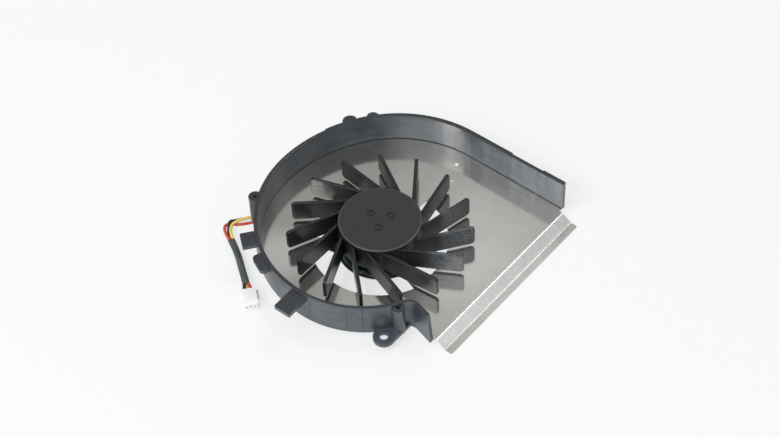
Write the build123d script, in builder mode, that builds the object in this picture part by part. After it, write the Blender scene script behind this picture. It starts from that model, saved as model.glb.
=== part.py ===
from build123d import *
import os
from math import asin, cos, degrees, pi, radians, sin, sqrt, tan

# Laptop blower fan, open on top: a moulded volute frame on a stamped steel base plate,
# a bladed impeller on a small brushless motor, and a three-wire lead with a connector.
# The fan axis is Z, the outlet faces +X, and the fan rests on Z = 0. Sizes are in millimetres.

# Base plate
sheet = 0.4  # steel thickness
plate_rise = 2.3  # underside of the plate above the motor seat's underside
window_width = 8.0  # air gap between the motor seat and the plate
seat_margin = 1.05  # motor seat beyond the hub
spoke_count = 3
spoke_width = 5.0
spoke_start = -17.0
spoke_level = 5.0  # flat end of a spoke, at the plate's level
bend_reach = 1.1  # first bend beyond the end of the far wall
bend_run = 3.2
bend_radius = 0.9
lip_width = 2.6
lip_inset = 1.2  # lip short of the far wall's inner face
lip_side = 0.7  # lip short of the nose
lip_corner = 0.5
spoke_fillet = 1.5
pip_radius = 0.6
pip_x = -1.0
pip_gap = 5.3  # stamped pip from the far wall
edge_seat = 0.6  # plate edge under the wall
stake_radius = 0.7  # studs of the frame that are melted over the plate
stake_head_radius = 1.25
stake_head = 0.45
stake_clearance = 0.1

# Impeller
blade_tip_radius = 29.0
blade_count = 15
blade_lead = 9.7  # distance from the axis to the line of a blade
blade_thickness = 1.1
blade_height = 7.3
blade_clearance = 1.0  # under the blades, above the plate
blade_corner = 1.2
blade_edge = 0.3
blade_start = 6.1
hub_radius = 12.95
hub_rise = 1.3  # hub top above the blades
hub_skin = 0.9
hub_wall = 0.8
hub_edge = 0.6
dimple_count = 3
dimple_circle = 3.6
dimple_start = 60.0
dimple_radius = 1.4
dimple_depth = 0.25
gate_radius = 0.6

# Volute: gaps are measured outwards from the blade tip radius
far_gap = 15.3
arc_gaps = (8.9, 16.3, 9.2, 1.4)
arc_sweeps = (54.0, 34.5, 94.6)
straight_end = 0.2  # where the straight far wall turns into the scroll
outlet_gap = 7.3  # end of the far wall beyond the blade tips
nose_gap = 7.9  # end of the near wall beyond the blade tips
nose_y = -20.3
nose_rake = 1.3  # lean of the near wall's end
near_flare = 14.5  # turn of the near wall away from the outlet's middle
tongue_radius = 4.5
wall = 1.2
wall_pad = 0.25  # extra thickness where the wall is stiffened
thin_start = 16.0  # plain stretch of the far wall
thin_end = 28.0
pad_level = 18.0  # the wall is plain below this
wall_height = 11.1  # at the outlet
rim_slope = 0.8  # the wall gets lower away from the outlet
rim_edge = 0.2
rebate_clearance = 0.1

# Fixings moulded on the frame, by their angle along the scroll
boss_angles = (149.5, 139.5, 208.6)
boss_offsets = (0.0, -0.4, 0.6)  # boss centres outside the wall
boss_radii = (2.4, 2.0, 2.1)
post_angle = 326.6
post_offset = 0.66  # post centre outside the wall
post_radius = 1.9
post_drop = 0.8  # post top below the highest rim
screw_hole = 0.65
screw_depth = 3.0
ear_side = -1.5  # ear hole from the post
ear_reach = -5.3
ear_radius = 3.3
ear_thickness = 1.2
ear_hole = 1.3
tab_thickness = 1.4
tab_drop = 0.6  # tabs below the rim
tab_angles = (232.5, 246.8, 271.3)
tab_reaches = (4.4, 2.9, 7.9)
tab_widths = (5.6, 7.0, 5.8)
tab_corners = (0.3, 1.4, 0.3)

# Motor
running_gap = 0.02
fit_gap = 0.02
yoke_wall = 0.6
yoke_gap = 0.05
yoke_height = 6.8
magnet_wall = 1.75
magnet_height = 4.8
magnet_drop = 1.2  # magnet below the yoke's ceiling
magnet_gap = 0.05
air_gap = 0.35
shaft_radius = 1.0
shaft_grip = 1.4  # shaft held in the hub boss
hub_boss = 1.0
sleeve_wall = 1.15
holder_wall = 0.7
holder_step = 0.7
holder_flange = 0.9
holder_flange_height = 0.8
holder_floor = 0.5
pad_height = 0.4
pad_gap = 0.05
washer_height = 0.3
washer_reach = 0.65
groove_depth = 0.2
washer_lift = 0.4
washer_room = 0.35  # between the washer and the sleeve
core_height = 2.6
core_ring = 1.7
tooth_count = 4
tooth_start = 45.0
tooth_width = 2.6
shoe_height = 1.0
slot_opening = 3.8
insulator = 0.4
insulator_flange = 0.6
insulator_leg = 0.25
coil_build = 1.0
coil_gap = 0.05
coil_start = 0.5
coil_end = 0.1
holder_rise = 0.3  # holder above the upper insulator
sleeve_recess = 0.2
sleeve_shoulder = 0.3
film = 0.15
board = 0.8
board_margin = 0.35
board_hole_gap = 0.15
film_margin = 0.3
pad_inset = 1.4  # wire pads from the board's edge
pad_pitch = 1.6
chip_length = 4.0
chip_width = 3.2
chip_height = 1.2
chip_bevel = 0.25
foot_count = 3
foot_pitch = 1.2
foot_width = 0.4
foot_reach = 0.7
foot_thickness = 0.25
sensor_length = 3.0
sensor_width = 1.6
sensor_height = 1.0
cap_length = 3.2
cap_width = 1.7
cap_height = 1.5
cap_end = 0.5
cap_end_proud = 0.05
part_inset = 0.75  # middle of the board's parts inside the poles

# Lead
wire_diameter = 0.95
lead_sleeve_radius = 1.5
lead_sleeve_bore = 1.2
lead_sleeve_height = 1.5  # centre of the sleeve above the table
lead_sleeve_route = ((-36.8, -28.3), (-31.6, -31.2), (-25.8, -34.9), (-21.4, -38.3))
way_pitch = 1.25
way_count = 3
way_clearance = 0.05
way_depth = 1.2
way_lead = 0.7  # straight wire behind the connector
connector_width = 4.7
connector_length = 6.0
connector_height = 3.4
connector_rear = (-18.9, -40.1)
connector_heading = -39.4
connector_edge = 0.3
rib_width = 0.6
rib_height = 0.6
rib_length = 3.5
latch_width = 0.7
latch_length = 1.4
latch_start = 2.6
terminal_width = 0.9
terminal_height = 1.0
terminal_wall = 0.15
terminal_recess = 0.5
terminal_pocket = 2.0
pin_way = 0.6
route_share = 0.45  # part of a run that a bend may use

# Middle of each wire's route, by hand from the photograph
black_route = (
    (-15.6, 2.6, 1.7), (-20.6, 0.2, 0.9), (-27.3, -5.6, 0.5), (-33.2, -11.4, 0.5),
    (-37.6, -16.2, 0.5), (-41.2, -19.2, 0.6), (-43.4, -21.2, 1.3), (-43.0, -23.6, 1.65),
    (-40.5, -26.0, 1.0), (-36.8, -28.3, 0.84), (-31.82, -31.56, 0.99), (-26.17, -35.43, 1.39),
    (-21.75, -38.76, 1.83),
)
yellow_route = (
    (-15.6, 1.1, 1.75), (-20.6, -0.9, 1.5), (-26.95, -6.0, 1.4), (-32.7, -11.9, 1.38),
    (-36.9, -16.5, 1.38), (-40.0, -20.0, 1.5), (-41.2, -22.4, 1.6), (-40.6, -24.6, 1.65),
    (-38.3, -26.7, 1.75), (-36.51, -27.81, 1.83), (-31.27, -30.64, 1.39), (-25.56, -34.55, 0.99),
    (-21.4, -38.3, 0.84),
)
red_route = (
    (-15.6, -0.4, 1.7), (-20.6, -2.2, 1.0), (-26.6, -6.4, 0.55), (-32.35, -12.3, 0.55),
    (-36.7, -17.1, 0.52), (-40.0, -21.4, 0.52), (-42.3, -22.5, 0.52), (-43.5, -23.7, 0.52),
    (-43.3, -25.2, 0.55), (-42.0, -26.5, 0.7), (-40.0, -27.9, 1.15), (-37.09, -28.79, 1.83),
    (-31.72, -31.39, 2.12), (-25.67, -34.71, 2.12), (-21.05, -37.84, 1.83),
)

# Heights and radii that follow
plate_top = plate_rise + sheet
blade_bottom = plate_top + blade_clearance
blade_top = blade_bottom + blade_height
hub_top = blade_top + hub_rise
wall_bottom = plate_rise
rim_top = plate_top + wall_height
seat_radius = hub_radius + seat_margin
window_radius = seat_radius + window_width
step_radius = window_radius - spoke_level
far_wall_y = blade_tip_radius + far_gap
outlet_x = blade_tip_radius + outlet_gap
nose_x = blade_tip_radius + nose_gap
bend_x = outlet_x + bend_reach
lip_near = nose_y + lip_side
lip_far = far_wall_y - lip_inset
arc_radii = [blade_tip_radius + gap for gap in arc_gaps]
hub_ceiling = hub_top - hub_skin
hub_boss_radius = shaft_radius + fit_gap + hub_boss
yoke_radius = hub_radius - hub_wall - yoke_gap
yoke_ceiling = hub_ceiling - yoke_wall
magnet_radius = yoke_radius - yoke_wall - magnet_gap
magnet_bore = magnet_radius - magnet_wall
magnet_top = yoke_ceiling - magnet_drop
core_bottom = magnet_top - (magnet_height + core_height) / 2
core_top = core_bottom + core_height
pole_radius = magnet_bore - air_gap
shoe_radius = pole_radius - shoe_height
flange_ring = shoe_radius + insulator_flange
insulator_bottom = core_bottom - insulator
sleeve_outer = shaft_radius + running_gap + sleeve_wall
holder_bore = sleeve_outer + fit_gap
chamber_radius = holder_bore - sleeve_shoulder
holder_radius = holder_bore + holder_wall
shoulder_radius = holder_radius + holder_step
flange_radius = shoulder_radius + holder_flange
flange_top = sheet + holder_flange_height
holder_top = core_top + insulator + holder_rise
core_bore = holder_radius + fit_gap
core_ring_radius = core_bore + core_ring
shaft_bottom = holder_floor + pad_height + pad_gap
washer_bottom = shaft_bottom + washer_lift
groove_radius = shaft_radius - groove_depth
sleeve_bottom = washer_bottom + washer_height + washer_room
sleeve_top = holder_top - sleeve_recess
board_radius = hub_radius - board_margin
board_hole = flange_radius + board_hole_gap
board_bottom = sheet + film
board_top = board_bottom + board
part_circle = pole_radius - part_inset


def heading(angle):
    return Vector(cos(radians(angle)), sin(radians(angle)))


# Centres of the scroll's arcs, each tangent to the one before
arc_centre = Vector(straight_end, far_wall_y - arc_radii[0])
arc_angle = 90.0
arc_centres = [arc_centre]
arc_angles = [arc_angle]
for turn, arc_sweep in enumerate(arc_sweeps):
    arc_angle += arc_sweep
    arc_centre = arc_centre + heading(arc_angle) * (arc_radii[turn] - arc_radii[turn + 1])
    arc_centres.append(arc_centre)
    arc_angles.append(arc_angle)
nose = Vector(nose_x, nose_y)
tongue_drop = (nose - arc_centre).dot(heading(90 - near_flare)) - tongue_radius
tongue_angle = degrees(asin(tongue_drop / (arc_radii[3] + tongue_radius))) - near_flare
last_sweep = 360 + tongue_angle - arc_angle
tongue_turn = 90 + tongue_angle + near_flare


def scroll_point(angle, grow=0.0):
    """Point on the scroll's face at a polar angle of its own arc, moved outwards by grow."""
    turn = max(index for index, start in enumerate(arc_angles) if start <= angle)
    return arc_centres[turn] + heading(angle) * (arc_radii[turn] + grow)


def rim_level(place):
    """Height of the sloping rim over a place in plan."""
    return rim_top - (nose_x - place.X) * tan(radians(rim_slope))


def volute_line(grow):
    """Inner face of the volute wall, moved outwards by grow, from the far end to the nose."""
    far = Line((outlet_x, far_wall_y + grow), (straight_end, far_wall_y + grow))
    joint = far
    for radius, arc_sweep in zip(arc_radii, (*arc_sweeps, last_sweep)):
        joint = JernArc(joint @ 1, joint % 1, radius + grow, arc_sweep)
    tongue = JernArc(joint @ 1, joint % 1, tongue_radius - grow, -tongue_turn)
    near = Line(tongue @ 1, nose - heading(90 - near_flare) * grow)
    return far @ 0, near @ 1


def scroll_space(grow):
    """Sketch of the space inside the volute wall, out to grow beyond its inner face."""
    with BuildSketch(mode=Mode.PRIVATE) as space:
        with BuildLine():
            far_end, near_end = volute_line(grow)
            Line(far_end, near_end)
        make_face()
    return space.sketch


def wall_section(inner, outer):
    """Sketch of a band of the volute wall between two distances from its inner face."""
    with BuildSketch(mode=Mode.PRIVATE) as band:
        with BuildLine():
            inner_far, inner_near = volute_line(inner)
            outer_far, outer_near = volute_line(outer)
            Line(inner_far, outer_far)
            Line(inner_near, outer_near)
        make_face()
    return band.sketch


def blade_plane(angle):
    """Plane of a blade's leading face, with its X axis along the blade."""
    side = heading(angle - 90)
    return Plane(origin=side * (blade_lead - blade_thickness / 2), x_dir=heading(angle), z_dir=side)


def stator_outline(inner, outer):
    """Sketch of the stator: ring, teeth, and shoes between two radii."""
    with BuildSketch(mode=Mode.PRIVATE) as outline:
        Circle(outer)
        Circle(inner, mode=Mode.SUBTRACT)
        with PolarLocations(0, tooth_count, tooth_start + 180 / tooth_count):
            Rectangle(2 * outer, slot_opening, align=(Align.MIN, Align.CENTER), mode=Mode.SUBTRACT)
        Circle(core_ring_radius)
        with PolarLocations(0, tooth_count, tooth_start):
            Rectangle((inner + outer) / 2, tooth_width, align=(Align.MIN, Align.CENTER))
        Circle(core_bore, mode=Mode.SUBTRACT)
    return outline.sketch


def bend_radii(points):
    """Largest radius that the two runs at each corner of a route leave room for."""
    radii = []
    for before, corner, after in zip(points, points[1:], points[2:]):
        arrive = Vector(corner) - Vector(before)
        leave = Vector(after) - Vector(corner)
        turn = radians(arrive.get_angle(leave))
        radii.append(route_share * min(arrive.length, leave.length) / tan(turn / 2))
    return radii


# Places of the round bosses, the screw post and the ear
bosses = [scroll_point(angle, wall + shift) for angle, shift in zip(boss_angles, boss_offsets)]
post = scroll_point(post_angle, wall + post_offset)
ear = post + Vector(ear_side, ear_reach)
stakes = [scroll_point(angle, wall) for angle in (boss_angles[0], boss_angles[2], post_angle)]
rim_plane = Plane(origin=(nose_x, 0, rim_top), z_dir=(-tan(radians(rim_slope)), 0, 1))

os.makedirs("parts", exist_ok=True)

# Volute frame
with BuildPart() as volute_frame:
    with BuildSketch(Plane.XY.offset(wall_bottom)):
        add(wall_section(0, wall))
    extrude(amount=rim_top - wall_bottom)
    split(bisect_by=rim_plane, keep=Keep.BOTTOM)
    fillet(volute_frame.faces().sort_by(Axis.Z)[-1].edges(), rim_edge)
    # stiffened stretches of the wall
    with BuildSketch(Plane.XY.offset(wall_bottom)):
        add(wall_section(wall / 2, wall + wall_pad))
        with Locations((thin_start, far_wall_y)):
            Rectangle(thin_end - thin_start, 2 * wall, align=(Align.MIN, Align.MIN), mode=Mode.SUBTRACT)
        with Locations((0, pad_level)):
            Rectangle(4 * nose_x, 4 * nose_x, align=(Align.CENTER, Align.MAX), mode=Mode.SUBTRACT)
    extrude(amount=rim_top - wall_bottom)
    # bosses along the outside of the wall
    with BuildSketch(Plane.XY.offset(wall_bottom)):
        for centre, radius in zip(bosses, boss_radii):
            with Locations(centre):
                Circle(radius)
        add(scroll_space(0), mode=Mode.SUBTRACT)
    extrude(amount=rim_top - wall_bottom)
    split(bisect_by=rim_plane, keep=Keep.BOTTOM)
    # mounting ear and the screw post above it
    with BuildSketch(Plane.XY.offset(wall_bottom)):
        with Locations(ear):
            Circle(ear_radius)
            Rectangle(2 * ear_radius, -ear.Y, align=(Align.CENTER, Align.MIN))
        with Locations(post):
            Circle(post_radius)
        add(scroll_space(0), mode=Mode.SUBTRACT)
    extrude(amount=ear_thickness)
    with BuildSketch(Plane.XY.offset(wall_bottom)):
        with Locations(post):
            Circle(post_radius)
    extrude(amount=rim_top - post_drop - wall_bottom)
    # raked end of the near wall
    with BuildSketch(Plane.XZ):
        with BuildLine():
            Polyline(
                (nose_x, wall_bottom), (nose_x - nose_rake, rim_top), (nose_x + wall, rim_top),
                (nose_x + wall, wall_bottom), close=True,
            )
        make_face()
    extrude(amount=-2 * nose_y, mode=Mode.SUBTRACT)
    # flat tabs under the rim
    for angle, reach, width, corner in zip(tab_angles, tab_reaches, tab_widths, tab_corners):
        root = scroll_point(angle)
        with BuildSketch(Plane.XY.offset(rim_level(root) - tab_drop)):
            with Locations(Location(root, angle)):
                RectangleRounded(wall + reach, width, corner, align=(Align.MIN, Align.CENTER))
            add(scroll_space(0), mode=Mode.SUBTRACT)
        extrude(amount=-tab_thickness)
    # rebate that takes the edge of the base plate
    with BuildSketch(Plane.XY.offset(wall_bottom)):
        add(wall_section(0, edge_seat + rebate_clearance))
        for centre in stakes:
            with Locations(centre):
                Circle(stake_head_radius + rebate_clearance)
    extrude(amount=plate_top - wall_bottom, mode=Mode.SUBTRACT)
    # studs that hold the plate, with their melted heads
    with BuildSketch(Plane.XY.offset(plate_rise)):
        for centre in stakes:
            with Locations(centre):
                Circle(stake_radius)
    extrude(amount=sheet)
    with BuildSketch(Plane.XY.offset(plate_rise)):
        for centre in stakes:
            with Locations(centre):
                Circle(stake_head_radius)
    extrude(amount=-stake_head)
    # holes of the ear, the post and the bosses
    with Locations(ear + (0, 0, wall_bottom + ear_thickness)):
        Hole(ear_hole, ear_thickness)
    with Locations(post + (0, 0, rim_top - post_drop), bosses[2] + (0, 0, rim_level(bosses[2]))):
        Hole(screw_hole, screw_depth)
volute_frame.part.label = "volute_frame"
export_step(volute_frame.part, "parts/volute_frame.step")

# Base plate: the dished spider first, then the sheet and the stepped lip
with BuildPart() as base_plate:
    with BuildSketch(Plane.XZ):
        with BuildLine():
            Polyline(
                (0, 0), (seat_radius, 0), (step_radius, plate_rise), (window_radius + sheet, plate_rise),
                (window_radius + sheet, plate_top), (step_radius, plate_top), (seat_radius, sheet),
                (0, sheet), close=True,
            )
        make_face()
    revolve(axis=Axis.Z)
    with BuildSketch() as spider:
        with Locations(Location((0, 0), spoke_start)):
            Circle(seat_radius)
        with PolarLocations(0, spoke_count, spoke_start):
            Rectangle(window_radius + sheet, spoke_width, align=(Align.MIN, Align.CENTER))
        fillet(spider.vertices().sort_by_distance((0, 0))[: 2 * spoke_count], spoke_fillet)
    extrude(amount=plate_top, mode=Mode.INTERSECT)
    with BuildSketch(Plane.XY.offset(plate_rise)):
        add(scroll_space(edge_seat))
        for centre in stakes:
            with Locations(centre):
                Circle(stake_head_radius)
        with Locations((outlet_x - sheet, lip_near)):
            Rectangle(bend_x - outlet_x + sheet, lip_far - lip_near, align=(Align.MIN, Align.MIN))
        Circle(window_radius, mode=Mode.SUBTRACT)
        for centre in stakes:
            with Locations(centre):
                Circle(stake_radius + stake_clearance, mode=Mode.SUBTRACT)
    extrude(amount=sheet)
    with Locations((pip_x, far_wall_y - pip_gap, plate_top)):
        Sphere(pip_radius, arc_size1=0)
    with BuildSketch(Plane.XZ.offset(-lip_far)):
        with BuildLine():
            underside = FilletPolyline(
                (outlet_x - sheet, plate_rise), (bend_x, plate_rise), (bend_x + bend_run, 0),
                (bend_x + bend_run + lip_width, 0), radius=bend_radius,
            )
            offset(underside, sheet, side=Side.LEFT, closed=True)
        make_face()
    extrude(amount=lip_far - lip_near)
    lip_edges = base_plate.edges().filter_by(Axis.Z).group_by(Axis.X)[-1]
    fillet(lip_edges, lip_corner)
    with Locations((0, 0, sheet)):
        Hole(holder_radius + fit_gap, sheet)
base_plate.part.label = "base_plate"
export_step(base_plate.part, "parts/base_plate.step")

# Impeller: blades first, then the hub, so that the hub's hollow trims their roots
blade_end = sqrt(blade_tip_radius**2 - (blade_lead + blade_thickness / 2) ** 2)
blade_root = sqrt((hub_radius - hub_wall) ** 2 - blade_lead**2)
blade_angles = [blade_start + 360 * index / blade_count for index in range(blade_count)]
with BuildPart() as impeller:
    with BuildSketch(*[blade_plane(angle) for angle in blade_angles]) as blades:
        with Locations((blade_root, blade_bottom)):
            Rectangle(blade_end - blade_root, blade_height, align=(Align.MIN, Align.MIN))
        fillet(blades.vertices().group_by(Axis.X)[-1], blade_corner)
    extrude(amount=blade_thickness)
    fillet(impeller.edges() - impeller.edges().group_by(SortBy.LENGTH)[0], blade_edge)
    with BuildSketch(Plane.XY.offset(blade_bottom)):
        Circle(hub_radius)
    extrude(amount=hub_top - blade_bottom)
    fillet(impeller.edges().group_by(Axis.Z)[-1], hub_edge)
    with BuildSketch(Plane.XZ):
        with BuildLine():
            Polyline(
                (0, blade_bottom), (hub_radius - hub_wall, blade_bottom), (hub_radius - hub_wall, hub_ceiling),
                (hub_boss_radius, hub_ceiling), (hub_boss_radius, hub_ceiling - shaft_grip),
                (shaft_radius + fit_gap, hub_ceiling - shaft_grip), (shaft_radius + fit_gap, hub_ceiling),
                (0, hub_ceiling), close=True,
            )
        make_face()
    revolve(axis=Axis.Z, mode=Mode.SUBTRACT)
    # shallow gate marks on the cap
    with BuildSketch(Plane.XY.offset(hub_top)):
        with PolarLocations(dimple_circle, dimple_count, dimple_start):
            Circle(dimple_radius)
            Circle(gate_radius, mode=Mode.SUBTRACT)
    extrude(amount=-dimple_depth, mode=Mode.SUBTRACT)
impeller.part.label = "impeller"
export_step(impeller.part, "parts/impeller.step")

# Rotor yoke: a drawn steel cup inside the hub
with BuildPart() as rotor_yoke:
    with BuildSketch(Plane.XY.offset(hub_ceiling)):
        Circle(yoke_radius)
    extrude(amount=-yoke_height)
    fillet(rotor_yoke.edges().group_by(Axis.Z)[-1], yoke_wall)
    with BuildSketch(Plane.XY.offset(yoke_ceiling)):
        Circle(yoke_radius - yoke_wall)
    extrude(amount=-yoke_height, mode=Mode.SUBTRACT)
    with Locations((0, 0, hub_ceiling)):
        Hole(hub_boss_radius + fit_gap, yoke_wall)
rotor_yoke.part.label = "rotor_yoke"
export_step(rotor_yoke.part, "parts/rotor_yoke.step")

# Rotor magnet: a ring in the yoke
with BuildPart() as rotor_magnet:
    with BuildSketch(Plane.XY.offset(magnet_top)):
        Circle(magnet_radius)
        Circle(magnet_bore, mode=Mode.SUBTRACT)
    extrude(amount=-magnet_height)
rotor_magnet.part.label = "rotor_magnet"
export_step(rotor_magnet.part, "parts/rotor_magnet.step")

# Rotor shaft, with a groove for its washer
with BuildPart() as rotor_shaft:
    with BuildSketch(Plane.XY.offset(shaft_bottom)):
        Circle(shaft_radius)
    extrude(amount=hub_ceiling - shaft_bottom)
    fillet(rotor_shaft.edges().group_by(Axis.Z)[0], groove_depth)
    with BuildSketch(Plane.XY.offset(washer_bottom)):
        Circle(shaft_radius)
        Circle(groove_radius, mode=Mode.SUBTRACT)
    extrude(amount=washer_height + fit_gap, mode=Mode.SUBTRACT)
rotor_shaft.part.label = "rotor_shaft"
export_step(rotor_shaft.part, "parts/rotor_shaft.step")

# Retaining washer in the shaft's groove
with BuildPart() as retaining_washer:
    with BuildSketch(Plane.XY.offset(washer_bottom + fit_gap / 2)):
        Circle(groove_radius + washer_reach)
        Circle(groove_radius + fit_gap, mode=Mode.SUBTRACT)
    extrude(amount=washer_height)
retaining_washer.part.label = "retaining_washer"
export_step(retaining_washer.part, "parts/retaining_washer.step")

# Bearing holder: a turned tube with a flange, closed at the bottom
with BuildPart() as bearing_holder:
    with BuildSketch(Plane.XZ):
        with BuildLine():
            Polyline(
                (0, 0), (holder_radius, 0), (holder_radius, sheet), (flange_radius, sheet),
                (flange_radius, flange_top), (shoulder_radius, flange_top),
                (shoulder_radius, insulator_bottom), (holder_radius, insulator_bottom),
                (holder_radius, holder_top), (holder_bore, holder_top), (holder_bore, sleeve_bottom),
                (chamber_radius, sleeve_bottom), (chamber_radius, holder_floor), (0, holder_floor),
                close=True,
            )
        make_face()
    revolve(axis=Axis.Z)
bearing_holder.part.label = "bearing_holder"
export_step(bearing_holder.part, "parts/bearing_holder.step")

# Bearing sleeve, with chamfered mouths
with BuildPart() as bearing_sleeve:
    with BuildSketch(Plane.XY.offset(sleeve_bottom)):
        Circle(sleeve_outer)
        Circle(shaft_radius + running_gap, mode=Mode.SUBTRACT)
    extrude(amount=sleeve_top - sleeve_bottom)
    chamfer(bearing_sleeve.edges().group_by(Axis.Z)[-1], groove_depth)
bearing_sleeve.part.label = "bearing_sleeve"
export_step(bearing_sleeve.part, "parts/bearing_sleeve.step")

# Thrust pad under the shaft
with BuildPart() as thrust_pad:
    with BuildSketch(Plane.XY.offset(holder_floor)):
        Circle(chamber_radius - fit_gap)
    extrude(amount=pad_height)
thrust_pad.part.label = "thrust_pad"
export_step(thrust_pad.part, "parts/thrust_pad.step")

# Stator core
with BuildPart() as stator_core:
    with BuildSketch(Plane.XY.offset(core_bottom)):
        add(stator_outline(shoe_radius, pole_radius))
    extrude(amount=core_height)
stator_core.part.label = "stator_core"
export_step(stator_core.part, "parts/stator_core.step")

# Lower insulator, which stands on the board with four legs
with BuildPart() as insulator_lower:
    with BuildSketch(Plane.XY.offset(insulator_bottom)):
        add(stator_outline(shoe_radius, flange_ring))
    extrude(amount=insulator)
    with BuildSketch(Plane.XY.offset(board_top)):
        with PolarLocations(shoe_radius + insulator_flange / 2, tooth_count, tooth_start):
            Circle(insulator_leg)
    extrude(amount=insulator_bottom - board_top)
insulator_lower.part.label = "insulator_lower"
export_step(insulator_lower.part, "parts/insulator_lower.step")

# Upper insulator
with BuildPart() as insulator_upper:
    with BuildSketch(Plane.XY.offset(core_top)):
        add(stator_outline(shoe_radius, flange_ring))
    extrude(amount=insulator)
insulator_upper.part.label = "insulator_upper"
export_step(insulator_upper.part, "parts/insulator_upper.step")

# Stator coils, one round each tooth
window_wide = tooth_width + 2 * coil_gap
window_high = core_height + 2 * insulator + 2 * coil_gap
coil_inner = core_ring_radius + coil_start
coil_outer = sqrt(shoe_radius**2 - (window_wide / 2 + coil_build) ** 2) - coil_end
core_middle = core_bottom + core_height / 2
for tooth in range(tooth_count):
    radial = heading(tooth_start + 360 * tooth / tooth_count)
    coil_origin = radial * coil_inner + (0, 0, core_middle)
    coil_plane = Plane(origin=coil_origin, x_dir=(-radial.Y, radial.X, 0), z_dir=radial)
    with BuildPart() as stator_coil:
        with BuildSketch(coil_plane):
            RectangleRounded(window_wide + 2 * coil_build, window_high + 2 * coil_build, coil_build)
            Rectangle(window_wide, window_high, mode=Mode.SUBTRACT)
        extrude(amount=coil_outer - coil_inner)
    stator_coil.part.label = f"stator_coil_{tooth + 1}"
    export_step(stator_coil.part, f"parts/stator_coil_{tooth + 1}.step")

# Film that keeps the board off the steel
with BuildPart() as insulation_sheet:
    with BuildSketch(Plane.XY.offset(sheet)):
        Circle(board_radius + film_margin)
        Circle(board_hole, mode=Mode.SUBTRACT)
    extrude(amount=film)
insulation_sheet.part.label = "insulation_sheet"
export_step(insulation_sheet.part, "parts/insulation_sheet.step")

# Motor board
with BuildPart() as motor_pcb:
    with BuildSketch(Plane.XY.offset(board_bottom)):
        Circle(board_radius)
        Circle(board_hole, mode=Mode.SUBTRACT)
    extrude(amount=board)
motor_pcb.part.label = "motor_pcb"
export_step(motor_pcb.part, "parts/motor_pcb.step")

# Drive chip
with BuildPart() as drive_ic:
    with BuildSketch(Plane.XY.offset(board_top)):
        with Locations((part_circle, 0)):
            Rectangle(chip_width, chip_length)
    extrude(amount=chip_height)
    chamfer(drive_ic.edges().group_by(Axis.Z)[-1], chip_bevel)
    with BuildSketch(Plane.XY.offset(board_top)):
        with Locations((part_circle, 0)):
            with GridLocations(chip_width + foot_reach, foot_pitch, 2, foot_count):
                Rectangle(foot_reach, foot_width)
    extrude(amount=foot_thickness)
drive_ic.part.label = "drive_ic"
export_step(drive_ic.part, "parts/drive_ic.step")

# Hall sensor
with BuildPart() as hall_sensor:
    with BuildSketch(Plane.XY.offset(board_top)):
        with Locations((0, part_circle)):
            Rectangle(sensor_length, sensor_width)
    extrude(amount=sensor_height)
    chamfer(hall_sensor.edges().group_by(Axis.Z)[-1], chip_bevel)
    with BuildSketch(Plane.XY.offset(board_top)):
        with Locations((0, part_circle)):
            with GridLocations(foot_pitch, sensor_width + foot_reach, 2, 2):
                Rectangle(foot_width, foot_reach)
    extrude(amount=foot_thickness)
hall_sensor.part.label = "hall_sensor"
export_step(hall_sensor.part, "parts/hall_sensor.step")

# Chip capacitor, with its plated ends
with BuildPart() as capacitor:
    with BuildSketch(Plane.XY.offset(board_top)):
        with Locations((0, -part_circle)):
            Rectangle(cap_length, cap_width)
    extrude(amount=cap_height)
    with BuildSketch(Plane.XY.offset(board_top)):
        with Locations((0, -part_circle)):
            with GridLocations(cap_length - cap_end, 0, 2, 1):
                Rectangle(cap_end, cap_width + 2 * cap_end_proud)
    extrude(amount=cap_height + cap_end_proud)
capacitor.part.label = "capacitor"
export_step(capacitor.part, "parts/capacitor.step")

# Connector: its plane stands on the rear face and looks along the ways
connector_ahead = heading(connector_heading)
connector_side = heading(connector_heading + 90)
connector_middle = Vector(*connector_rear, connector_height / 2)
connector_plane = Plane(origin=connector_middle, x_dir=connector_side, z_dir=connector_ahead)
connector_base = Plane(origin=(*connector_rear, 0), x_dir=connector_side, z_dir=(0, 0, -1))
connector_axis = Axis(connector_middle, connector_ahead)
way_offsets = [way_pitch * (index - (way_count - 1) / 2) for index in range(way_count)]
terminal_length = connector_length - way_depth - terminal_recess
with BuildPart() as connector_housing:
    with BuildSketch(connector_plane):
        Rectangle(connector_width, connector_height)
    extrude(amount=connector_length)
    chamfer(connector_housing.faces().sort_by(connector_axis)[-1].edges(), connector_edge)
    # ribs that key the plug, on its two sides
    with BuildSketch(connector_plane):
        with GridLocations(connector_width + rib_height, 0, 2, 1):
            Rectangle(rib_height, rib_width)
    extrude(amount=rib_length)
    # ways for the terminals, from the rear, with small mouths in front
    with BuildSketch(connector_plane):
        with GridLocations(way_pitch, 0, way_count, 1):
            Rectangle(terminal_width + 2 * way_clearance, terminal_height + 2 * way_clearance)
    extrude(amount=way_depth + terminal_length, mode=Mode.SUBTRACT)
    with BuildSketch(connector_plane):
        with GridLocations(way_pitch, 0, way_count, 1):
            Rectangle(pin_way, pin_way)
    extrude(amount=connector_length, mode=Mode.SUBTRACT)
    # latch windows under the terminals
    with BuildSketch(connector_base):
        with Locations((0, latch_start)):
            with GridLocations(way_pitch, 0, way_count, 1):
                Rectangle(latch_width, latch_length, align=(Align.CENTER, Align.MIN))
    extrude(amount=-connector_height / 2, mode=Mode.SUBTRACT)
connector_housing.part.label = "connector_housing"
export_step(connector_housing.part, "parts/connector_housing.step")

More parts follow.
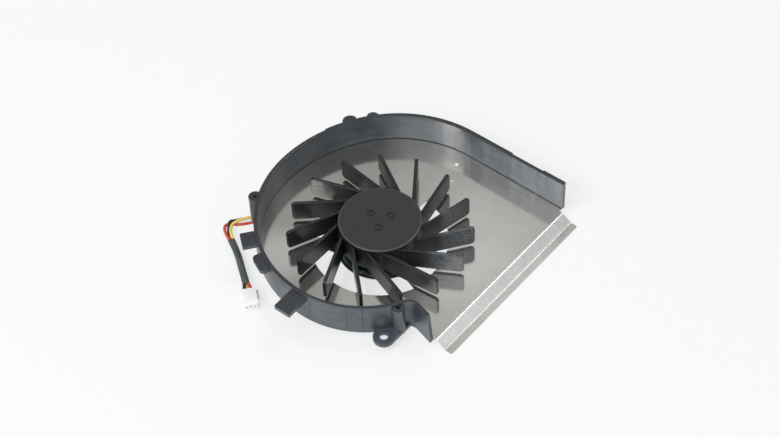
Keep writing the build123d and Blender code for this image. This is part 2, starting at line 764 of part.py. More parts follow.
# Terminals: box contacts, open at the front
for way, place in enumerate(way_offsets):
    with BuildPart() as terminal:
        with BuildSketch(connector_plane.offset(way_depth)):
            with Locations((place, 0)):
                Rectangle(terminal_width, terminal_height)
        extrude(amount=terminal_length)
        with BuildSketch(connector_plane.offset(way_depth + terminal_length)):
            with Locations((place, 0)):
                Rectangle(terminal_width - 2 * terminal_wall, terminal_height - 2 * terminal_wall)
        extrude(amount=-terminal_pocket, mode=Mode.SUBTRACT)
    terminal.part.label = f"terminal_{way + 1}"
    export_step(terminal.part, f"parts/terminal_{way + 1}.step")

# Wires, each from its pad on the board to its way in the connector
pad_circle = board_radius - pad_inset
wire_routes = {"wire_black": black_route, "wire_yellow": yellow_route, "wire_red": red_route}
for way, (name, middle_route) in enumerate(wire_routes.items()):
    pad = Vector(-pad_circle, pad_pitch * (way_count - 1 - way), board_top + wire_diameter / 2)
    mouth = connector_middle + connector_side * way_offsets[way]
    route_ends = (mouth - connector_ahead * way_lead, mouth + connector_ahead * way_depth)
    route = (pad, *middle_route, *route_ends)
    with BuildPart() as wire:
        with BuildLine() as run:
            FilletPolyline(*route, radius=bend_radii(route))
        with BuildSketch(Plane(origin=run.line @ 0, z_dir=run.line % 0)):
            Circle(wire_diameter / 2)
        sweep()
    wire.part.label = name
    export_step(wire.part, f"parts/{name}.step")
    length = sum(edge.length for edge in run.edges())
    filled = wire.part.volume / (pi * wire_diameter**2 / 4 * length)
    print(name, "length", round(length, 2), "volume over section and length", round(filled, 5))
    print(name, "bend radii", [round(radius, 1) for radius in bend_radii(route)])

# Shrink sleeve over the three wires
sleeve_points = [Vector(*point, lead_sleeve_height) for point in lead_sleeve_route]
with BuildPart() as wire_sleeve:
    with BuildLine() as sleeve_run:
        FilletPolyline(*sleeve_points, radius=bend_radii(sleeve_points))
    with BuildSketch(Plane(origin=sleeve_run.line @ 0, z_dir=sleeve_run.line % 0)):
        Circle(lead_sleeve_radius)
        Circle(lead_sleeve_bore, mode=Mode.SUBTRACT)
    sweep()
wire_sleeve.part.label = "wire_sleeve"
export_step(wire_sleeve.part, "parts/wire_sleeve.step")
print("wire_sleeve bend radii", [round(radius, 1) for radius in bend_radii(sleeve_points)])
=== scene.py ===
import math

import bmesh
import bpy
from mathutils import Matrix, Vector


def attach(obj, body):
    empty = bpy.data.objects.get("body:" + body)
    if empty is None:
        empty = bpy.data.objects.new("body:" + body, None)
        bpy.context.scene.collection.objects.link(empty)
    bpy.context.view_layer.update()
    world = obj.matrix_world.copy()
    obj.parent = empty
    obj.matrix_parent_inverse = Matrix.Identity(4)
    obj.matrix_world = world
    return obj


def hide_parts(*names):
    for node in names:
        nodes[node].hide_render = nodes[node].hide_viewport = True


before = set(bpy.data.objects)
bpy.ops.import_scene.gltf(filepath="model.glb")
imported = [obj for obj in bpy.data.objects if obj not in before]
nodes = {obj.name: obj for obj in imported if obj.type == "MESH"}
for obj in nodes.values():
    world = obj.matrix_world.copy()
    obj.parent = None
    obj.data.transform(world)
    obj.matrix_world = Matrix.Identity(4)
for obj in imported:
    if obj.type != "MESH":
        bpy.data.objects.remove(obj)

mm = 0.001
scene = bpy.context.scene
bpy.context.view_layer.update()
print("frame loaded with", len(nodes), "nodes")


# camera at the photograph's place: it circles the fan axis, then pans, tilts and rolls a little
viewPoint = {
    "aim": (0.0, 0.0, 2.7 * mm),
    "azimuth": 42.25,
    "elevation": 49.65,
    "distance": 554.57 * mm,
    "pan": 0.32,
    "tilt": 0.65,
    "roll": -3.18,
    "focalPixels": 1800,
    "imageWidth": 780,
    "sensor": 36.0,
    "nearest": 10 * mm,
}


def makeCamera(spec):
    azimuth, elevation, pan, tilt, roll = (
        math.radians(spec[key]) for key in ("azimuth", "elevation", "pan", "tilt", "roll")
    )
    flat = math.cos(elevation)
    back = Vector((math.sin(azimuth) * flat, -math.cos(azimuth) * flat, math.sin(elevation)))
    right = Vector((math.cos(azimuth), math.sin(azimuth), 0))
    up = back.cross(right)
    ahead = math.cos(tilt) * (math.cos(pan) * -back + math.sin(pan) * right) + math.sin(tilt) * up
    side = ahead.cross(up).normalized()
    top = side.cross(ahead)
    rolledSide = math.cos(roll) * side + math.sin(roll) * top
    rolledTop = -math.sin(roll) * side + math.cos(roll) * top
    lens = bpy.data.cameras.new("camera")
    lens.sensor_fit = "HORIZONTAL"
    lens.sensor_width = spec["sensor"]
    lens.lens = spec["sensor"] * spec["focalPixels"] / spec["imageWidth"]
    lens.clip_start = spec["nearest"]
    camera = bpy.data.objects.new("camera", lens)
    scene.collection.objects.link(camera)
    turn = Matrix((rolledSide, rolledTop, -ahead)).transposed().to_4x4()
    camera.matrix_world = Matrix.Translation(Vector(spec["aim"]) + spec["distance"] * back) @ turn
    scene.camera = camera


makeCamera(viewPoint)
print("camera placed")


# shader maths: an output socket with Python operators
class Sock:
    def __init__(self, finish, out):
        self.finish = finish
        self.out = out

    def __add__(self, other):
        return self.finish.math("ADD", self, other)

    def __sub__(self, other):
        return self.finish.math("SUBTRACT", self, other)

    def __rsub__(self, other):
        return self.finish.math("SUBTRACT", other, self)

    def __mul__(self, other):
        return self.finish.math("MULTIPLY", self, other)

    def __truediv__(self, other):
        return self.finish.math("DIVIDE", self, other)

    def __pow__(self, other):
        return self.finish.math("POWER", self, other)

    __radd__ = __add__
    __rmul__ = __mul__


# a material, or the world, with the nodes that feed its shader
class Finish:
    def __init__(self, name, constants, maker=bpy.data.materials, shader="Principled BSDF"):
        self.block = maker.new(name)
        self.block.use_nodes = True
        self.tree = self.block.node_tree
        self.shader = self.tree.nodes[shader]
        self.set(constants)

    def set(self, sockets):
        for label, value in sockets.items():
            self.feed(self.shader.inputs[label], value)

    def feed(self, socket, value):
        if isinstance(value, Sock):
            self.tree.links.new(value.out, socket)
        elif socket.type == "RGBA" and len(value) == 3:
            socket.default_value = (*value, 1.0)
        else:
            socket.default_value = value

    def node(self, kind, settings=None, sockets=None, out=0):
        made = self.tree.nodes.new(kind)
        for label, value in (settings or {}).items():
            if label == "stops":
                self.setStops(made.color_ramp.elements, value)
            else:
                setattr(made, label, value)
        for label, value in (sockets or {}).items():
            self.feed(made.inputs[label], value)
        return Sock(self, made.outputs[out])

    def setStops(self, elements, stops):
        while len(elements) < len(stops):
            elements.new(1.0)
        for element, (place, shade) in zip(elements, stops):
            element.position = place
            element.color = (shade, shade, shade, 1.0)

    def math(self, operation, first, second=0.0):
        return self.node("ShaderNodeMath", {"operation": operation}, {0: first, 1: second})

    def vector(self, operation, first, second=(0, 0, 0), out="Vector"):
        return self.node("ShaderNodeVectorMath", {"operation": operation}, {0: first, 1: second}, out)

    def where(self, stretch=(1, 1, 1), centre=(0, 0, 0)):
        # object coordinates, moved to a centre and stretched
        moved = self.vector("SUBTRACT", self.node("ShaderNodeTexCoord", out="Object"), centre)
        return self.node("ShaderNodeMapping", {"vector_type": "POINT"}, {"Vector": moved, "Scale": stretch})

    def plan(self, centre):
        # place in plan about a centre, both in millimetres
        return self.where((1 / mm, 1 / mm, 0), (centre[0] * mm, centre[1] * mm, 0))

    def axis(self, place, letter):
        return self.node("ShaderNodeSeparateXYZ", None, {0: place}, letter)

    def length(self, place):
        return self.vector("LENGTH", place, out="Value")

    def polar(self, centre):
        # angle in degrees from -180 to 180, and radius in millimetres, about a centre in plan
        place = self.plan(centre)
        angle = self.math("ARCTAN2", self.axis(place, "Y"), self.axis(place, "X"))
        return angle * math.degrees(1), self.length(place)

    def noise(self, size, detail=2.0, rough=0.5, place=None):
        # size is about one blotch, in metres
        sockets = {"Vector": place or self.where(), "Scale": 1 / size, "Detail": detail, "Roughness": rough}
        return self.node("ShaderNodeTexNoise", None, sockets)

    def ramp(self, value, stops):
        return self.node("ShaderNodeValToRGB", {"stops": stops}, {0: value})

    def rise(self, value, low, high):
        # 0 at the low limit, 1 at the high one
        return self.node("ShaderNodeMapRange", None, {0: value, 1: low, 2: high})

    def between(self, value, low, high, soft):
        # 1 between two limits, with soft edges
        return self.rise(value, low - soft, low + soft) * (1 - self.rise(value, high - soft, high + soft))

    def spot(self, centre, radius):
        # 1 inside a round spot in plan, in millimetres, with a soft edge
        return 1 - self.rise(self.length(self.plan(centre)), radius * 0.8, radius * 1.2)

    def mix(self, share, first, second):
        return self.node("ShaderNodeMix", {"data_type": "RGBA"}, {0: share, 6: first, 7: second}, 2)

    def bump(self, height, distance, under=None):
        sockets = {"Height": height, "Distance": distance}
        if under:
            sockets["Normal"] = under
        return self.node("ShaderNodeBump", None, sockets)


# moulded black plastic of the volute: scuffs and a painted pale sheen on its upright faces, more sheen on
# those that face the front, painted shade along the inner foot, seam lines outside
frameSpec = {
    "dark": (0.007, 0.009, 0.012),
    "pale": (0.017, 0.021, 0.026),
    # pale bluish scuff colour, also used as a painted sheen on upright faces
    "scuff": (0.150, 0.185, 0.230),
    # painted shade along the wall's foot, and the dark of the seam lines
    "grime": (0.004, 0.005, 0.006),
    "ior": 1.75,
    "rough": {"least": 0.2, "streaks": 0.16, "scuff": 0.12, "foot": 0.5},
    "blotch": 14 * mm,
    "streak": 5 * mm,
    "streakStretch": (1, 1, 0.12),
    "toneStops": ((0.35, 0.0), (0.65, 1.0)),
    "brush": 1.6 * mm,
    "brushRough": 0.65,
    "brushStretch": (0.16, 0.16, 1),
    "scuffAndSheenStops": ((0.4, 0.3), (0.62, 1.0)),
    "scuffAndSheenShare": 0.75,
    "scuffAndSheenLeast": 0.55,  # scuffs and painted sheen on walls that don't face the front
    "sheenFront": 0.45,  # more painted sheen towards the front, where the light falls
    "scuffAndSheenOutside": 0.5,  # what is left of the scuffs and painted sheen outside the scroll
    "uprightLimits": (0.2, 0.5),  # of the normal's height
    "levelLimits": (0.8, 0.95),
    "insideLimits": (-0.001 * mm, 0.0),  # of the normal's reach away from the axis
    # painted shade along the inner foot of the wall, below these heights
    "foot": (2.85 * mm, 3.15 * mm),
    "earLevel": (4 * mm, 4.5 * mm),  # level faces below it are the ear's top, made paler grey
    "earShare": 0.35,
    "wave": 6 * mm,
    "waveStretch": (1, 1, 0.3),
    "waveDepth": 0.2 * mm,
    "grain": 0.22 * mm,
    "grainDepth": 0.008 * mm,
    "seamDepth": 0.08 * mm,
    "seamEdge": 0.2,
    "seamLevel": 8 * mm,
    "seams": (  # centre, angle at the level, degrees per metre of height, least radius, width
        (-0.911, 2.236, -104.5, -463, 38.8, 0.4), (-0.489, -5.552, -82.5, 237, 31.0, 0.22),
        (-0.489, -5.552, -61.1, 50, 31.0, 0.22), (-0.489, -5.552, -52.4, 0, 31.0, 0.22),
    ),
}


def framePlastic(spec):
    skin = Finish("framePlastic", {"IOR": spec["ior"]})
    place = skin.where()
    normal = skin.node("ShaderNodeNewGeometry", out="Normal")
    height = skin.axis(place, "Z")
    level = skin.axis(normal, "Z")
    upright = 1 - skin.rise(skin.math("ABSOLUTE", level), *spec["uprightLimits"])
    inside = 1 - skin.rise(skin.vector("DOT_PRODUCT", normal, place, "Value"), *spec["insideLimits"])
    blotch = skin.noise(spec["blotch"], detail=3.0)
    streaks = skin.noise(spec["streak"], place=skin.where(spec["streakStretch"]))
    brushed = skin.where(spec["brushStretch"])
    brush = skin.noise(spec["brush"], detail=4.0, rough=spec["brushRough"], place=brushed)
    wave = skin.noise(spec["wave"], detail=1.0, place=skin.where(spec["waveStretch"]))

    front = skin.math("MINIMUM", skin.axis(normal, "Y"), 0.0)  # below zero on walls that face the front
    outside = spec["scuffAndSheenOutside"]
    # painted sheen: more on walls that face the front and on the inner walls, broken up into scuffs by the
    # noise
    sheenWeight = (spec["scuffAndSheenLeast"] - spec["sheenFront"] * front) * (outside + (1 - outside) * inside)
    scuff = upright * sheenWeight * skin.ramp(0.55 * brush + 0.45 * blotch, spec["scuffAndSheenStops"])
    ear = skin.rise(level, *spec["levelLimits"]) * (1 - skin.rise(height, *spec["earLevel"]))
    # painted shade along the foot of the inner walls
    foot = (1 - skin.rise(height, *spec["foot"])) * inside

    seam = 0.0
    for centreX, centreY, angle, slant, least, width in spec["seams"]:
        turn, radius = skin.polar((centreX, centreY))
        half = math.degrees(width / 2 / least)
        straight = turn - slant * (height - spec["seamLevel"])
        line = skin.between(straight, angle - half, angle + half, half / 2)
        seam = seam + line * skin.rise(radius, least, least + spec["seamEdge"])

    swell = skin.bump(wave, spec["waveDepth"])
    groove = skin.bump(1 - seam, spec["seamDepth"], swell)
    tone = skin.mix(skin.ramp(0.5 * blotch + 0.5 * streaks, spec["toneStops"]), spec["dark"], spec["pale"])
    wornAndSheened = skin.mix(spec["scuffAndSheenShare"] * scuff + spec["earShare"] * ear, tone, spec["scuff"])
    rough = spec["rough"]
    skin.set({
        "Base Color": skin.mix(skin.math("MAXIMUM", foot, seam), wornAndSheened, spec["grime"]),
        "Roughness": rough["least"] + rough["streaks"] * streaks + rough["scuff"] * scuff
        + rough["foot"] * foot,
        "Normal": skin.bump(skin.noise(spec["grain"]), spec["grainDepth"], groove),
    })
    return skin.block


# matt black plastic of the impeller: painted shade darkens the roots, the tone pales towards the tips, and
# a painted speckled sheen with spark grain lies on the outer part of some blades
impellerSpec = {
    "dark": (0.005, 0.006, 0.007),
    "pale": (0.026, 0.028, 0.032),
    # painted sheen colour
    "dust": (0.135, 0.148, 0.166),
    "cap": (0.034, 0.035, 0.037),
    # painted highlight on the hub cap's rounded edge
    "capEdgeHighlight": (0.100, 0.102, 0.105),
    "ior": 1.46,
    "rough": {"least": 0.16, "cloud": 0.12, "speckle": 0.06, "roots": 0.3, "matt": 0.15},
    "cloud": 9 * mm,
    "speckle": 0.45 * mm,
    "toneStops": ((0.36, 0.1), (0.62, 1.0)),
    "speckledSheenStops": ((0.4, 0.1), (0.6, 0.9)),
    "rootShadeRadius": (14.0, 25.0),  # painted shade at the roots fades out between these radii in millimetres
    # where the painted sheen lies on the blades
    "sheenPatchRadius": (18.0, 20.5),
    "sheenPatchAngle": (-2.0, 52.0, 4.0),  # from, to and softness in degrees
    "mattRadius": (13.5, 15.0),  # a duller blade
    "mattAngle": (-34.0, -6.0, 3.0),
    "capRadius": (12.95, 13.05),
    "capLevel": (11.6 * mm, 12.6 * mm),
    "capEdgeHighlightRadius": (12.4, 12.8, 0.1),  # from, to and softness of the painted highlight
    "grain": 0.4 * mm,
    "grainDepth": 0.04 * mm,
    "grainLeast": 0.15,  # outside the dusty patch
    "dimples": (3.6, (60.0, 180.0, 300.0), 1.4),  # circle, angles, radius
    "dimpleRim": 0.3,
    "dimpleHeight": 0.09 * mm,
}


def impellerPlastic(spec):
    skin = Finish("impellerPlastic", {"IOR": spec["ior"]})
    angle, radius = skin.polar((0, 0))
    height = skin.axis(skin.where(), "Z")
    cap = (1 - skin.rise(radius, *spec["capRadius"])) * skin.rise(height, *spec["capLevel"])
    speckle = skin.noise(spec["speckle"])
    cloud = skin.noise(spec["cloud"])
    outer = skin.rise(radius, *spec["rootShadeRadius"])
    # painted sheen patch
    sheenPatch = skin.rise(radius, *spec["sheenPatchRadius"]) * skin.between(angle, *spec["sheenPatchAngle"])
    matt = skin.rise(radius, *spec["mattRadius"]) * skin.between(angle, *spec["mattAngle"])

    ring = 0.0
    circle, angles, dimple = spec["dimples"]
    for turn in angles:
        centre = (circle * math.cos(math.radians(turn)), circle * math.sin(math.radians(turn)))
        ring = ring + skin.spot(centre, dimple + spec["dimpleRim"]) - skin.spot(centre, dimple)

    # painted shade: the roots stay dark, the tone pales outwards
    share = outer * skin.ramp(0.5 * speckle + 0.5 * cloud, spec["toneStops"])
    tone = skin.mix(share, spec["dark"], spec["pale"])
    body = skin.mix(sheenPatch * skin.ramp(speckle, spec["speckledSheenStops"]), tone, spec["dust"])
    # painted highlight ring at the cap's edge
    top = skin.mix(skin.between(radius, *spec["capEdgeHighlightRadius"]), spec["cap"], spec["capEdgeHighlight"])
    raised = skin.bump(cap * ring, spec["dimpleHeight"])
    grain = skin.noise(spec["grain"]) * (spec["grainLeast"] + sheenPatch)
    rough = spec["rough"]
    skin.set({
        "Base Color": skin.mix(cap, body, top),
        "Roughness": rough["least"] + rough["cloud"] * cloud + rough["speckle"] * speckle
        + rough["roots"] * (1 - outer) * (1 - cap) + rough["matt"] * matt,
        "Normal": skin.bump(grain, spec["grainDepth"], raised),
    })
    return skin.block


# bright rolled steel of the base plate, duller and sparkling where the outlet's step was pressed, with
# painted pools of light towards the right and near the left edge
steelSpec = {
    "dark": (0.53, 0.515, 0.48),
    "pale": (0.92, 0.905, 0.865),
    "bright": (0.99, 0.985, 0.965),
    # white of the dust specks and of the painted highlight on the pip
    "speckAndGlintWhite": (0.95, 0.95, 0.93),
    "metallic": 0.95,
    "rough": {"least": 0.08, "cloud": 0.05, "rolled": 0.03, "speckAndGlintWhite": 0.5},
    "stepRough": {"least": 0.06, "pressed": 0.1, "sparkle": 0.1},
    "bendRough": {"least": 0.05, "pressed": 0.1},
    "cloud": 9 * mm,
    "rolled": 0.35 * mm,
    "rolledStretch": (1, 0.06, 1),
    "pressed": 0.7 * mm,
    "pressedStretch": (0.15, 1, 0.15),
    "sparkle": 0.3 * mm,
    "sparkleRough": 0.7,
    # centre and reach of a painted pool of light
    "lightPoolCentre": (26 * mm, 12 * mm, 0),
    "reach": 52 * mm,
    "toneStops": ((0.25, 0.0), (0.95, 1.0)),
    "leftLightPool": (-21 * mm, -24 * mm, 0),  # a second painted pool of light, paler again near the left edge
    "leftPoolReach": (5 * mm, 13 * mm),
    "leftPoolShare": 0.62,
    "step": (37.2 * mm, 37.6 * mm),
    "slopeSoft": 0.15 * mm,
    "mottleStops": ((0.36, 0.5), (0.62, 1.0)),
    "bends": (37.4 * mm, 40.6 * mm),
    "bendHalf": 0.4 * mm,
    "bendSoft": 0.1 * mm,
    "relief": 0.0004 * mm,
    "stepRelief": {"pressed": 2, "sparkle": 6},  # times the relief of the rolled sheet
    "specksAndGlint": ((-4.3, 26.9, 0.25), (2.2, 32.5, 0.3), (-1.0, 39.0, 0.6)),  # the first two are white dust specks; the last is a painted highlight on the stamped pip
}


def plateSteel(spec):
    skin = Finish("plateSteel", {})
    along = skin.axis(skin.where(), "X")
    cloud = skin.noise(spec["cloud"], detail=3.0)
    rolled = skin.noise(spec["rolled"], place=skin.where(spec["rolledStretch"]))
    pressed = skin.noise(spec["pressed"], place=skin.where(spec["pressedStretch"]))
    sparkle = skin.noise(spec["sparkle"], rough=spec["sparkleRough"])
    step = skin.rise(along, *spec["step"])
    slope = skin.between(along, *spec["bends"], spec["slopeSoft"])
    bend = 0.0
    for middle in spec["bends"]:
        half = spec["bendHalf"]
        bend = bend + skin.between(along, middle - half, middle + half, spec["bendSoft"])
    # dust specks and the painted highlight on the pip
    speckAndGlint = 0.0
    for x, y, radius in spec["specksAndGlint"]:
        speckAndGlint = speckAndGlint + skin.spot((x, y), radius)

    # painted pools of light
    fromLightPool = skin.length(skin.where(centre=spec["lightPoolCentre"])) / spec["reach"]
    share = skin.ramp(0.3 * cloud + 0.1 * rolled + 0.8 * (1 - fromLightPool), spec["toneStops"])
    leftPool = 1 - skin.rise(skin.length(skin.where(centre=spec["leftLightPool"])), *spec["leftPoolReach"])
    sheet = skin.mix(share + spec["leftPoolShare"] * leftPool, spec["dark"], spec["pale"])
    mottle = skin.ramp(0.25 * pressed + 0.4 * sparkle + 0.35 * cloud, spec["mottleStops"])
    rough, stepRough, bendRough = spec["rough"], spec["stepRough"], spec["bendRough"]
    dull = stepRough["least"] + stepRough["pressed"] * pressed + stepRough["sparkle"] * sparkle
    relief = spec["stepRelief"]["pressed"] * pressed + spec["stepRelief"]["sparkle"] * sparkle
    skin.set({
        "Base Color": skin.mix(speckAndGlint, skin.mix(slope * mottle, sheet, spec["bright"]), spec["speckAndGlintWhite"]),
        "Metallic": spec["metallic"] * (1 - speckAndGlint),
        "Roughness": rough["least"] + rough["cloud"] * cloud + rough["rolled"] * rolled + step * dull
        + bend * (bendRough["least"] + bendRough["pressed"] * pressed) + rough["speckAndGlintWhite"] * speckAndGlint,
        "Normal": skin.bump(rolled + step * relief, spec["relief"]),
    })
    return skin.block


# the plain finishes: dark and pale tone, blotch in millimetres, roughness, metallic, grain in millimetres
plainSpec = {
    "yoke_steel": ((0.40, 0.40, 0.40), (0.50, 0.50, 0.49), 3.0, 0.35, 1.0, 0.3),
    "shaft_steel": ((0.52, 0.52, 0.52), (0.60, 0.60, 0.60), 1.0, 0.2, 1.0, 0.1),
    "core_steel": ((0.30, 0.30, 0.31), (0.42, 0.42, 0.43), 2.0, 0.4, 1.0, 0.2),
    "magnet": ((0.030, 0.028, 0.027), (0.055, 0.052, 0.050), 2.0, 0.6, 0.0, 0.2),
    "brass": ((0.62, 0.44, 0.17), (0.74, 0.55, 0.25), 2.0, 0.3, 1.0, 0.15),
    "bronze": ((0.36, 0.23, 0.12), (0.50, 0.33, 0.18), 0.3, 0.45, 1.0, 0.1),
    "copper": ((0.60, 0.24, 0.12), (0.74, 0.36, 0.20), 0.4, 0.3, 1.0, 0.12),
    "insulator": ((0.62, 0.60, 0.54), (0.74, 0.72, 0.66), 2.0, 0.5, 0.0, 0.2),
    "pad_plastic": ((0.60, 0.60, 0.58), (0.72, 0.72, 0.70), 1.0, 0.45, 0.0, 0.15),
    # film and board are painted much darker than their own colours: painted shade under the hub
    "film": ((0.10, 0.10, 0.085), (0.16, 0.155, 0.13), 3.0, 0.3, 0.0, 0.2),
    "board": ((0.006, 0.034, 0.030), (0.012, 0.060, 0.052), 2.0, 0.3, 0.0, 0.2),
    "chip": ((0.02, 0.02, 0.022), (0.035, 0.035, 0.037), 0.5, 0.55, 0.0, 0.1),
    "ceramic": ((0.42, 0.30, 0.20), (0.52, 0.39, 0.28), 0.5, 0.45, 0.0, 0.1),
    "wire_yellow": ((0.76, 0.54, 0.09), (0.88, 0.68, 0.16), 2.0, 0.42, 0.0, 0.2),
    "wire_red": ((0.52, 0.04, 0.035), (0.66, 0.08, 0.065), 2.0, 0.42, 0.0, 0.2),
    "wire_black": ((0.018, 0.018, 0.02), (0.032, 0.032, 0.035), 2.0, 0.42, 0.0, 0.2),
    "sleeve_black": ((0.030, 0.036, 0.036), (0.100, 0.112, 0.110), 0.8, 0.45, 0.0, 0.4),
    "connector_nylon": ((0.90, 0.90, 0.885), (0.94, 0.94, 0.925), 2.0, 0.4, 0.0, 0.2),
    "terminal_tin": ((0.60, 0.60, 0.58), (0.72, 0.72, 0.70), 0.5, 0.3, 1.0, 0.1),
}
roughSpan = 0.12  # from the dark tone to the pale one
grainDepth = 0.03  # share of a grain's size


def plainFinish(slot, spec):
    dark, pale, size, rough, metallic, grain = spec
    first, *others = slot.split("_")
    skin = Finish(first + "".join(word.capitalize() for word in others), {"Metallic": metallic})
    blotch = skin.noise(size * mm, detail=3.0)
    skin.set({
        "Base Color": skin.mix(blotch, dark, pale),
        "Roughness": rough - roughSpan / 2 + roughSpan * blotch,
        "Normal": skin.bump(skin.noise(grain * mm), grainDepth * grain * mm),
    })
    return skin.block


finishes = {
    "frame_plastic": framePlastic(frameSpec),
    "impeller_plastic": impellerPlastic(impellerSpec),
    "plate_steel": plateSteel(steelSpec),
}
for slot, spec in plainSpec.items():
    finishes[slot] = plainFinish(slot, spec)
for node in nodes.values():
    node.data.materials[0] = finishes[node.data.materials[0].name]
print("finishes made:", len(finishes))


def addPiece(name, shape, slot):
    mesh = bpy.data.meshes.new(name)
    shape.to_mesh(mesh)
    shape.free()
    piece = bpy.data.objects.new(name, mesh)
    scene.collection.objects.link(piece)
    mesh.materials.append(finishes[slot])
    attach(piece, "fan_body")
    return piece


# the windows are narrower behind and to the right of the hub: a web beside the far spoke, dished like it,
# and a narrow band along the right window's rim
webSpec = {
    "upper": ((13.9, 0.39), (17.0, 2.69), (22.3, 2.69)),  # radius and height in millimetres
    "thickness": 0.38,
    "start": 87.0,
    "sweep": 48.0,
    "steps": 16,
}
bandSpec = {
    "upper": ((20.8, 2.69), (22.3, 2.69)),
    "thickness": 0.38,
    "start": -17.0,
    "sweep": 104.5,
    "steps": 40,
}


def makeSector(name, spec):
    turn = math.radians(spec["start"])
    lower = [(radius, height - spec["thickness"]) for radius, height in reversed(spec["upper"])]
    shape = bmesh.new()
    section = [
        shape.verts.new((radius * math.cos(turn) * mm, radius * math.sin(turn) * mm, height * mm))
        for radius, height in (*spec["upper"], *lower)
    ]
    shape.faces.new(section)
    whole = shape.verts[:] + shape.edges[:] + shape.faces[:]
    sweep = math.radians(spec["sweep"])
    bmesh.ops.spin(shape, geom=whole, cent=(0, 0, 0), axis=(0, 0, 1), angle=sweep, steps=spec["steps"])
    bmesh.ops.recalc_face_normals(shape, faces=shape.faces)
    addPiece(name, shape, "plate_steel")


makeSector("farWeb", webSpec)
makeSector("rightBand", bandSpec)
print("windows narrowed behind and to the right of the hub")


# cords are smooth curves near their control points
curveSpec = {"order": 3, "steps": 6, "roundness": 4}


def routeCurve(name, points, radius, spec):
    curve = bpy.data.curves.new(name, "CURVE")
    curve.dimensions = "3D"
    curve.resolution_u = spec["steps"]
    spline = curve.splines.new("NURBS")
    spline.points.add(len(points) - 1)
    for knot, point in zip(spline.points, points):
        knot.co = (*point, 1.0)
    spline.order_u = spec["order"]
    spline.use_endpoint_u = True
    curve.bevel_depth = radius
    curve.bevel_resolution = spec["roundness"]
    curve.use_fill_caps = True
    cord = bpy.data.objects.new(name, curve)
    scene.collection.objects.link(cord)
    return cord


# the shrink sleeve is drawn tight over the three wires: its section has soft lobes that twist with them
sleeveSpec = {
    "route": ((-36.8, -28.3, 1.5), (-31.6, -31.2, 1.5), (-25.8, -34.9, 1.5), (-21.4, -38.3, 1.5)),
    "radius": 1.08,
    "lobes": 3,
    "lobe": 0.14,
    "lobeStart": 30.0,
    "lobeTwist": -120.0,
    "wall": 0.12,
    "sides": 36,
}


def makeSleeve(spec):
    route = routeCurve("sleeveRoute", [Vector(point) * mm for point in spec["route"]], 0.0, curveSpec)
    line = bpy.data.meshes.new_from_object(route)
    points = [knot.co.copy() for knot in line.vertices]
    bpy.data.objects.remove(route)
    bpy.data.meshes.remove(line)
    shape = bmesh.new()
    rings = []
    for step, point in enumerate(points):
        ahead = (points[min(step + 1, len(points) - 1)] - points[max(step - 1, 0)]).normalized()
        side = Vector((-ahead.y, ahead.x, 0)).normalized()
        turn = math.radians(spec["lobeStart"] + spec["lobeTwist"] * step / (len(points) - 1))
        ring = bmesh.ops.create_circle(shape, segments=spec["sides"], radius=1.0)["verts"]
        for vert in ring:
            swell = math.cos(spec["lobes"] * (math.atan2(vert.co.y, vert.co.x) - turn))
            vert.co *= (spec["radius"] + spec["lobe"] * swell) * mm
        axes = Matrix((side, ahead.cross(side), ahead)).transposed().to_4x4()
        bmesh.ops.transform(shape, matrix=Matrix.Translation(point) @ axes, verts=ring)
        rings.append(list({edge for vert in ring for edge in vert.link_edges}))
    for first, second in zip(rings, rings[1:]):
        bmesh.ops.bridge_loops(shape, edges=first + second)
    bmesh.ops.recalc_face_normals(shape, faces=shape.faces)
    bmesh.ops.solidify(shape, geom=shape.faces[:], thickness=spec["wall"] * mm)
    for face in shape.faces:
        face.smooth = True
    sleeve = addPiece("sleeve", shape, "sleeve_black")
    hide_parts("wire_sleeve")
    return sleeve


# the three wires in millimetres: the model's route under the plate, and outside the wall its points are
# moved a little to follow the photograph, with black tucked under yellow
leadSpec = {
    "diameter": 0.95,
    "padCircle": 11.2,
    "padPitch": 1.6,
    "padHeight": 1.825,
    "connector": (-18.9, -40.1, 1.7),
    "heading": -39.4,
    "wayPitch": 1.25,
    "wayDepth": 1.2,
    "wayLead": 0.7,
    "endPieces": ("connector_housing", "terminal_1", "terminal_2", "terminal_3"),
    "lengths": {"wire_black": 74.0, "wire_yellow": 69.9, "wire_red": 73.0},
    "routes": {
        "wire_black": (
            (-15.6, 2.6, 1.7), (-20.6, 0.2, 0.9), (-27.3, -5.6, 0.5), (-33.2, -11.2, 0.5),
            (-37.8, -15.3, 0.5), (-40.55, -18.3, 0.5), (-41.9, -20.9, 0.8), (-42.75, -23.0, 1.9),
            (-41.3, -25.0, 0.8), (-39.6, -26.7, 0.5), (-36.8, -28.3, 0.84), (-31.82, -31.56, 0.99),
            (-26.17, -35.43, 1.39), (-21.75, -38.76, 1.83),
        ),
        "wire_yellow": (
            (-15.6, 1.1, 1.75), (-20.6, -0.9, 1.5), (-26.95, -6.0, 1.4), (-32.7, -11.8, 1.38),
            (-37.3, -15.9, 1.4), (-40.0, -18.9, 1.5), (-41.4, -22.6, 1.65), (-40.4, -25.0, 1.7),
            (-38.3, -26.8, 1.75), (-36.51, -27.81, 1.83), (-31.27, -30.64, 1.39), (-25.56, -34.55, 0.99),
            (-21.4, -38.3, 0.84),
        ),
        "wire_red": (
            (-15.6, -0.4, 1.7), (-20.6, -2.2, 1.0), (-26.6, -6.4, 0.55), (-32.35, -12.3, 0.55),
            (-36.7, -17.1, 0.52), (-40.0, -21.4, 0.52), (-42.2, -22.6, 0.52), (-43.2, -23.5, 0.52),
            (-43.25, -24.6, 0.55), (-42.3, -25.8, 0.75), (-40.3, -27.2, 1.3), (-37.09, -28.79, 1.83),
            (-31.72, -31.39, 2.12), (-25.67, -34.71, 2.12), (-21.05, -37.84, 1.83),
        ),
    },
}


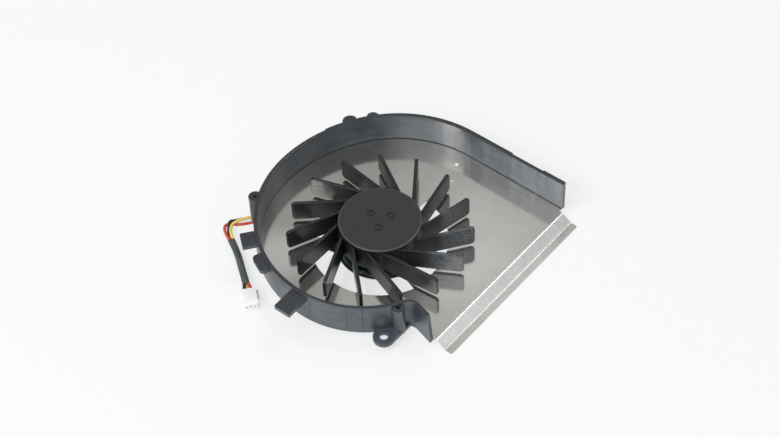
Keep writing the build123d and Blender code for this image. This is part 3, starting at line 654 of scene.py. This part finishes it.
def makeLead(spec, sleeve):
    turn = math.radians(spec["heading"])
    ahead = Vector((math.cos(turn), math.sin(turn), 0))
    side = Vector((-math.sin(turn), math.cos(turn), 0))
    for way, (name, middle) in enumerate(spec["routes"].items()):
        pad = Vector((-spec["padCircle"], spec["padPitch"] * (2 - way), spec["padHeight"]))
        mouth = Vector(spec["connector"]) + side * spec["wayPitch"] * (way - 1)
        last = (mouth - ahead * spec["wayLead"], mouth + ahead * spec["wayDepth"])
        points = [Vector(point) * mm for point in (pad, *middle, *last)]
        wire = routeCurve(name + "_lead", points, spec["diameter"] / 2 * mm, curveSpec)
        wire.data.materials.append(finishes[name])
        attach(wire, "fan_body")
        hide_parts(name)


makeLead(leadSpec, makeSleeve(sleeveSpec))
print("lead laid")


# a pale floor in an even studio, a wide soft lamp in front with a small one to its left, a small one
# behind and a weak one to the right
stageSpec = {
    "floor": (0.93, 0.945, 0.94),
    "floorRough": 0.9,
    "floorRadius": 3.0,
    "floorSides": 64,
    "floorDrop": 0.02 * mm,
    "backdrop": (0.92, 0.935, 0.93),
    "backdropShare": 0.7,
    "backdropRays": ("Is Camera Ray", "Is Glossy Ray", "Is Transmission Ray"),
    "air": (0.975, 0.99, 1.0),
    "level": 0.47,
    "overhead": 0.3,
    "overheadFocus": 6.0,
    "lamps": {  # place in metres, size in metres, power in watts
        "frontLamp": ((0.06, -0.65, 0.76), 0.86, 4.8),
        "leftLamp": ((-0.21, -0.65, 0.73), 0.2, 1.6),
        "farLamp": ((0.09, 0.479, 0.873), 0.2, 1.3),
        "rightLamp": ((0.69, 0.3, 0.657), 0.2, 0.14),
    },
}


def makeFloor(spec):
    mesh = bpy.data.meshes.new("floor")
    shape = bmesh.new()
    bmesh.ops.create_circle(shape, cap_ends=True, segments=spec["floorSides"], radius=spec["floorRadius"])
    bmesh.ops.translate(shape, vec=(0, 0, -spec["floorDrop"]), verts=shape.verts)
    shape.to_mesh(mesh)
    shape.free()
    floor = bpy.data.objects.new("floor", mesh)
    scene.collection.objects.link(floor)
    paper = Finish("floorPaper", {
        "Base Color": spec["floor"], "Roughness": spec["floorRough"], "Specular IOR Level": 0.0,
    })
    direct, mirrored, through = (paper.node("ShaderNodeLightPath", out=ray) for ray in spec["backdropRays"])
    seen = paper.math("MAXIMUM", paper.math("MAXIMUM", direct, mirrored), through)
    share = spec["backdropShare"] * seen
    white = paper.node("ShaderNodeEmission", None, {"Color": spec["backdrop"], "Strength": 1.0})
    diffuse = Sock(paper, paper.shader.outputs[0])
    surface = paper.node("ShaderNodeMixShader", None, {0: share, 1: diffuse, 2: white})
    paper.feed(paper.tree.nodes["Material Output"].inputs["Surface"], surface)
    mesh.materials.append(paper.block)


def makeLight(spec):
    studio = Finish("studio", {"Color": spec["air"]}, bpy.data.worlds, "Background")
    height = studio.axis(studio.node("ShaderNodeTexCoord", out="Generated"), "Z")
    overhead = studio.math("MAXIMUM", height, 0.0) ** spec["overheadFocus"]
    studio.set({"Strength": spec["level"] + spec["overhead"] * overhead})
    scene.world = studio.block
    for name, (place, size, power) in spec["lamps"].items():
        lamp = bpy.data.lights.new(name, "AREA")
        lamp.shape = "DISK"
        lamp.size = size
        lamp.energy = power
        box = bpy.data.objects.new(name, lamp)
        scene.collection.objects.link(box)
        box.location = place
        box.rotation_euler = Vector(place).to_track_quat("Z", "Y").to_euler()


makeFloor(stageSpec)
makeLight(stageSpec)
scene.view_settings.view_transform = "Standard"
print("stage lit")
